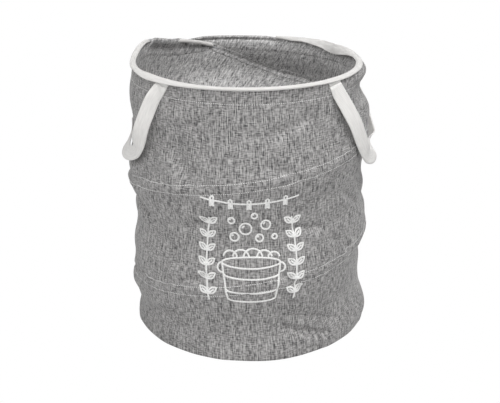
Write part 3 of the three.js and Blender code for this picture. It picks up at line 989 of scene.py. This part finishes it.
class HAMPER_OT_handles(bpy.types.Operator):
    """Hangs a loop of webbing on each side, its ends sewn under the rim tape"""
    bl_idname = "hamper.handles"
    bl_label = "Handles"

    def execute(self, context):
        for name, loop in LOOPS.items():
            legs = (loop.front, loop.rear) if loop.side > 0.0 else (loop.rear, loop.front)
            first, last = loop.sewn(legs[0]), 1.0 - loop.sewn(legs[1])
            self.web(f"{name}_strap", f"{name}_loop", f"{name}_handle", loop, first, last, 130)
            ends = ("front", "rear") if loop.side > 0.0 else ("rear", "front")
            for end, start, stop in ((ends[0], 0.0, first), (ends[1], last, 1.0)):
                self.web(f"{name}_strap_{end}_end", "rim", f"{name}_handle_{end}_tab", loop, start, stop, 4)
        return {"FINISHED"}

    def web(self, name, body, node, loop, start, stop, steps):
        def edge(u, v):
            u = between(start, stop, u)
            turn, z = loop.centre(u)
            before, after = loop.centre(max(0.0, u - 0.004)), loop.centre(min(1.0, u + 0.004))
            reach = math.radians(1.0) * SIDE_RADIUS
            run = Vector(((after[0] - before[0]) * reach, after[1] - before[1])).normalized()
            across = (v - 0.5) * WEB_WIDTH
            in_front = smooth(0.5 + loop.ahead(u) * 3.0)
            reached = between(4.0, 1.6, in_front)
            low = smooth(1.0 - abs(2.0 * u - 1.0) * reached)
            splay = between(loop.rear_splay, loop.splay, in_front)
            fall = smooth((WALL_TOP - z) / between(0.095, 0.028, in_front))
            splay = between(loop.top_splay, splay, fall)
            splay = math.radians(between(splay, -loop.curl, low))
            flat = across * math.cos(splay)
            level_cut = 0.0
            if abs(run.y) > 0.1:
                level_cut = (1.0 - smooth((WALL_TOP - z) / 0.012)) * run.x / run.y
            at_turn = loop.side + HANDLE_SKEW + turn - flat * (run.y + level_cut * run.x) / reach
            at_z = z + flat * (run.x - level_cut * run.y)
            radius = loop.radius(z, in_front, low) + math.sin(splay) * across
            radius += max(0.0, math.sin(splay)) * WEB_WIDTH / 2.0
            free = smooth((HINGE_Z - z) / 0.04)
            radius += 0.0010 * drift(u * 9.0, v * 0.8, loop.side) * free
            return place(at_turn, max(radius, wall_radius(at_turn, at_z) + 0.0010), at_z)

        form = mapped_grid(steps, 8, edge, (0.46 * (stop - start), WEB_WIDTH))
        new_piece(name, form, "handle_webbing", body, node, given().webbing, offset=0.0)


def stitch_row(place_at, count, length, thick):
    """A row of stitches, each a small spindle that lies along the row."""
    form = bmesh.new()
    for number in range(count):
        start, end = place_at(number, 0.0), place_at(number, 1.0)
        middle = (start + end) / 2.0
        aim = (end - start).to_track_quat("X", "Z").to_matrix().to_4x4()
        size = Matrix.Diagonal((length / 2.0, thick / 2.0, thick / 2.0, 1.0))
        bmesh.ops.create_icosphere(form, subdivisions=1, radius=1.0,
                                   matrix=Matrix.Translation(middle) @ aim @ size)
    return form


class HAMPER_OT_stitches(bpy.types.Operator):
    """Sews two rows along the casing and one round the hem"""
    bl_idname = "hamper.stitches"
    bl_label = "Stitches"

    def execute(self, context):
        step = given().stitch
        length = math.radians(CASING_END_TURN - CASING_START_TURN) * BODY_RADIUS
        count = int(length / step)
        for name, offset in (("upper", CASING_STITCH), ("lower", -CASING_STITCH)):
            def on_casing(number, share, offset=offset):
                turn = between(CASING_START_TURN, CASING_END_TURN, (number + 0.78 * share) / count)
                z = wire_height(turn) + offset
                return place(turn, wall_radius(turn, z) + 0.0005, z)
            form = stitch_row(on_casing, count, step * 0.82, 0.0012)
            folds_with_wall(new_piece(f"casing_stitches_{name}", form, "stitching", "base"))

        rounds = int(math.tau * NECK_RADIUS / step)

        def on_hem(number, share):
            turn = FULL_TURN * (number + 0.78 * share) / rounds
            z = WALL_TOP - HEM_STITCH
            return place(turn, wall_radius(turn, z) + 0.0002, z)

        form = stitch_row(on_hem, rounds, step * 0.78, 0.0009)
        new_piece("hem_stitches", form, "stitching", "rim")
        return {"FINISHED"}


# The print: strokes in millimetres from the middle of the front, right and up

def arc_stroke(centre, radius, start, end, steps, squash=1.0):
    angles = [math.radians(between(start, end, step / steps)) for step in range(steps + 1)]
    return [(centre[0] + radius * math.cos(angle), centre[1] + squash * radius * math.sin(angle))
            for angle in angles]


def leaf_strokes(root, angle, length):
    """A leaf's outline, and the vein along its middle."""
    direction = Vector((math.cos(math.radians(angle)), math.sin(math.radians(angle))))
    side = Vector((-direction.y, direction.x))

    def edge(share, bulge):
        middle = root + direction * length * share
        return tuple(middle + side * length * bulge * math.sin(math.pi * share))

    outline = [edge(step / 12, 0.24) for step in range(13)]
    outline += [edge(step / 12, -0.24) for step in range(12, -1, -1)]
    return [outline, [edge(0.15, 0.0), edge(0.72, 0.0)]]


def peg_strokes(x, z):
    half = [(2.6, -10.0), (2.2, 5.0)]
    outline = [(x - across, z + up) for across, up in half] + [(x, z + 6.6)]
    outline += [(x + across, z + up) for across, up in reversed(half)]
    return [outline, [(x, z + 1.0), (x, z - 9.0)]]


def tub_strokes():
    """A wash tub: its mouth, sides, foot, two hoops and two grips, with suds above."""
    strokes = [arc_stroke((0.0, -20.0), 46.0, 0.0, 360.0, 48, 0.20)]
    strokes += [[(side * 46.0, -20.0), (side * 37.0, -78.0)] for side in (-1.0, 1.0)]
    strokes += [arc_stroke((0.0, z), radius, 180.0, 360.0, 24, 0.20)
                for z, radius in ((-78.0, 37.0), (-38.0, 43.4), (-62.0, 39.6))]
    strokes += [arc_stroke((side * 45.0, -28.0), 8.0, 90.0 - side * 15.0, 90.0 - side * 190.0, 14)
                for side in (-1.0, 1.0)]
    strokes += [arc_stroke((x, -12.0), radius, 8.0, 172.0, 16)
                for x, radius in ((-33.0, 11.0), (-16.0, 13.0), (3.0, 15.0), (21.0, 12.0), (36.0, 9.0))]
    return strokes


def sprig_strokes(side):
    stem = [(side * (66.0 + 6.0 * math.sin(step / 12 * math.pi)), -84.0 + step * 11.4)
            for step in range(13)]
    strokes = [stem]
    for step in range(1, 12, 2):
        for turned in (-52.0, 52.0):
            strokes += leaf_strokes(Vector(stem[step]), 90.0 + side * turned, 17.0)
    return strokes


def print_strokes():
    """A wash tub with suds under a line of pegs, between two sprigs."""
    def line(x):
        return 79.0 + 0.0016 * x * x

    strokes = [[(x, line(x)) for x in range(-76, 77, 4)]]
    for x in (-58.0, -30.0, -2.0, 26.0, 54.0):
        strokes += peg_strokes(x, line(x))
    strokes += tub_strokes()
    for x, z, radius in ((-26.0, 22.0, 7.0), (-8.0, 36.0, 9.5), (14.0, 20.0, 6.0), (24.0, 42.0, 7.5),
                         (-30.0, 50.0, 5.0), (6.0, 58.0, 4.5), (38.0, 22.0, 4.0)):
        strokes.append(arc_stroke((x, z), radius, 0.0, 360.0, 22))
        strokes.append(arc_stroke((x, z), radius * 0.55, 105.0, 165.0, 6))
    return strokes + sprig_strokes(-1.0) + sprig_strokes(1.0)


class HAMPER_OT_print(bpy.types.Operator):
    """Prints a generic line drawing on the front of the wall"""
    bl_idname = "hamper.print"
    bl_label = "Print"

    def execute(self, context):
        middle = (0.004, 0.190)
        curve = bpy.data.curves.new("print_strokes", "CURVE")
        curve.dimensions = "3D"
        curve.bevel_depth = given().print_line / 2.0
        curve.bevel_resolution = 1
        curve.use_fill_caps = True
        for stroke in print_strokes():
            fine = []
            for first, second in zip(stroke, stroke[1:]):
                parts = max(1, int(math.dist(first, second) / 3.0))
                fine += [tuple(between(one, two, part / parts) for one, two in zip(first, second))
                         for part in range(parts)]
            fine.append(stroke[-1])
            spline = curve.splines.new("POLY")
            spline.points.add(len(fine) - 1)
            for point, (x, z) in zip(spline.points, fine):
                point.co = (x * 0.001, z * 0.001, 0.0, 1.0)
        drawing = put("print_strokes", curve)
        context.view_layer.update()
        mesh = bpy.data.meshes.new_from_object(drawing)
        bpy.data.objects.remove(drawing)
        form = bmesh.new()
        form.from_mesh(mesh)
        bpy.data.meshes.remove(mesh)
        for vertex in form.verts:
            turn = -math.degrees((vertex.co.x + middle[0]) / BODY_RADIUS)
            z = vertex.co.y + middle[1]
            lift = 0.0004 + 0.18 * vertex.co.z
            vertex.co = place(turn, wall_radius(turn, z) + lift, z)
        folds_with_wall(new_piece("front_print", form, "print_ink", "base"))
        return {"FINISHED"}


class HAMPER_OT_declare(bpy.types.Operator):
    """Gives the wall, the casing, the coil wire and both straps meshes of their own"""
    bl_idname = "hamper.declare"
    bl_label = "Cut sizes and folds"

    def execute(self, context):
        pieces = bpy.data.objects
        for name in ("wall_cloth", "casing_cloth", "coil_wire"):
            folds_with_wall(pieces[name])
        for name in ("left_strap", "right_strap"):
            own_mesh(pieces[name])
        return {"FINISHED"}


class HAMPER_OT_stage(bpy.types.Operator):
    """Lights the hamper softly on a pale floor"""
    bl_idname = "hamper.stage"
    bl_label = "Stage"

    def execute(self, context):
        scene = context.scene
        scene.view_settings.view_transform = "Standard"
        finish = Finish("studio", "worlds")
        scene.world = finish.owner
        straight, mirrored = (finish.node("ShaderNodeLightPath", output=ray)
                              for ray in ("Is Camera Ray", "Is Glossy Ray"))
        seen = finish.maths("MAXIMUM", straight, mirrored)
        soft, white = (finish.node("ShaderNodeBackground", {}, {"Color": WHITE, "Strength": strength})
                       for strength in (SOFT_LIGHT, 1.0))
        mix = finish.node("ShaderNodeMixShader", {}, {0: seen, 1: soft, 2: white})
        finish.node("ShaderNodeOutputWorld", {}, {"Surface": mix})

        finish = Finish("studio_floor")
        rays = finish.node("ShaderNodeLightPath")
        matt = finish.node("ShaderNodeBsdfDiffuse", {}, {"Color": (0.85, 0.85, 0.85, 1.0)})
        glow = finish.node("ShaderNodeEmission", {}, {"Color": WHITE, "Strength": 1.0})
        surface = finish.node("ShaderNodeMixShader", {}, {0: rays, 1: matt, 2: glow})
        finish.node("ShaderNodeOutputMaterial", {}, {"Surface": surface})
        form = bmesh.new()
        bmesh.ops.create_grid(form, x_segments=1, y_segments=1, size=6.0)
        floor = meshed("floor", form, finish.owner)
        floor.location.z = FLOOR_Z

        for name, spot, power, size in LAMPS:
            data = bpy.data.lights.new(name, "AREA")
            data.energy = power
            data.size = size
            lamp = put(name, data)
            lamp.location = spot
            aim = Vector(LAMP_AIM) - Vector(spot)
            lamp.rotation_euler = aim.to_track_quat("-Z", "Y").to_euler()
        return {"FINISHED"}


class HAMPER_PT_panel(bpy.types.Panel):
    """Lists the hamper's sizes, colours and pieces"""
    bl_label = "Laundry hamper"
    bl_idname = "HAMPER_PT_panel"
    bl_space_type = "VIEW_3D"
    bl_region_type = "UI"
    bl_category = "Hamper"

    def draw(self, context):
        for group in (context.scene.hamper_sizes, context.scene.hamper_colours):
            box = self.layout.box()
            for name in group.bl_rna.properties.keys():
                if name not in ("rna_type", "name"):
                    box.prop(group, name)
        for operator in OPERATORS:
            self.layout.operator(operator.bl_idname)


OPERATORS = (
    HAMPER_OT_camera, HAMPER_OT_finishes, HAMPER_OT_wall, HAMPER_OT_base, HAMPER_OT_casing,
    HAMPER_OT_wire, HAMPER_OT_binding, HAMPER_OT_handles, HAMPER_OT_stitches, HAMPER_OT_print,
    HAMPER_OT_declare, HAMPER_OT_stage,
)
CLASSES = (HAMPER_PG_sizes, HAMPER_PG_colours, *OPERATORS, HAMPER_PT_panel)


def register():
    for item in CLASSES:
        bpy.utils.register_class(item)
    bpy.types.Scene.hamper_sizes = bpy.props.PointerProperty(type=HAMPER_PG_sizes)
    bpy.types.Scene.hamper_colours = bpy.props.PointerProperty(type=HAMPER_PG_colours)


def unregister():
    del bpy.types.Scene.hamper_colours
    del bpy.types.Scene.hamper_sizes
    for item in reversed(CLASSES):
        bpy.utils.unregister_class(item)


def main():
    register()
    bpy.ops.hamper.camera()
    bpy.ops.hamper.finishes()
    bpy.ops.hamper.wall()
    bpy.ops.hamper.base()
    bpy.ops.hamper.casing()
    bpy.ops.hamper.wire()
    bpy.ops.hamper.binding()
    bpy.ops.hamper.handles()
    bpy.ops.hamper.stitches()
    bpy.ops.hamper.print()
    bpy.ops.hamper.declare()
    bpy.ops.hamper.stage()


if __name__ == "__main__":
    main()
